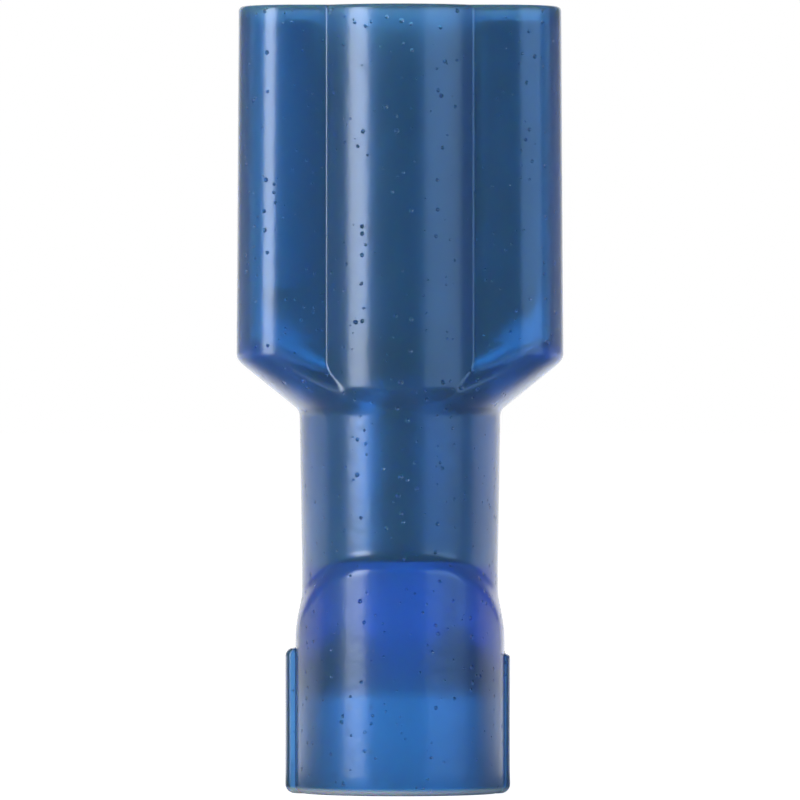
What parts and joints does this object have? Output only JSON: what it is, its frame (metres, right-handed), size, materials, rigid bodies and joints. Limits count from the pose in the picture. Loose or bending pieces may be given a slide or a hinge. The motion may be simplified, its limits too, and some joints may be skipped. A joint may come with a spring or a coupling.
{
  "type": "insulated female spade terminal",
  "caption": "Translucent blue nylon housing, flat at the mouth and round at the wire entry, over a folded metal receptacle whose rolled rails take a flat tab.",
  "frame": {"origin": "centre of the wire entry's rim, on the axis of the bores, in the plane that the terminal stands on", "axes": "+Z from the wire entry to the tab's mouth, -Y out of the flat side that the open rails face, +X to the right when that side is seen from the front"},
  "size_m": [0.009, 0.006, 0.0215],
  "materials": {
    "nylon": "moulded, translucent, satin",
    "tinned_brass": "tin-plated, satin",
    "tinned_copper": "tin-plated, satin"
  },
  "bodies": {
    "root": {"insulating_housing": "nylon", "receptacle_terminal": "tinned_brass", "barrel_sleeve": "tinned_copper"}
  },
  "joints": []
}
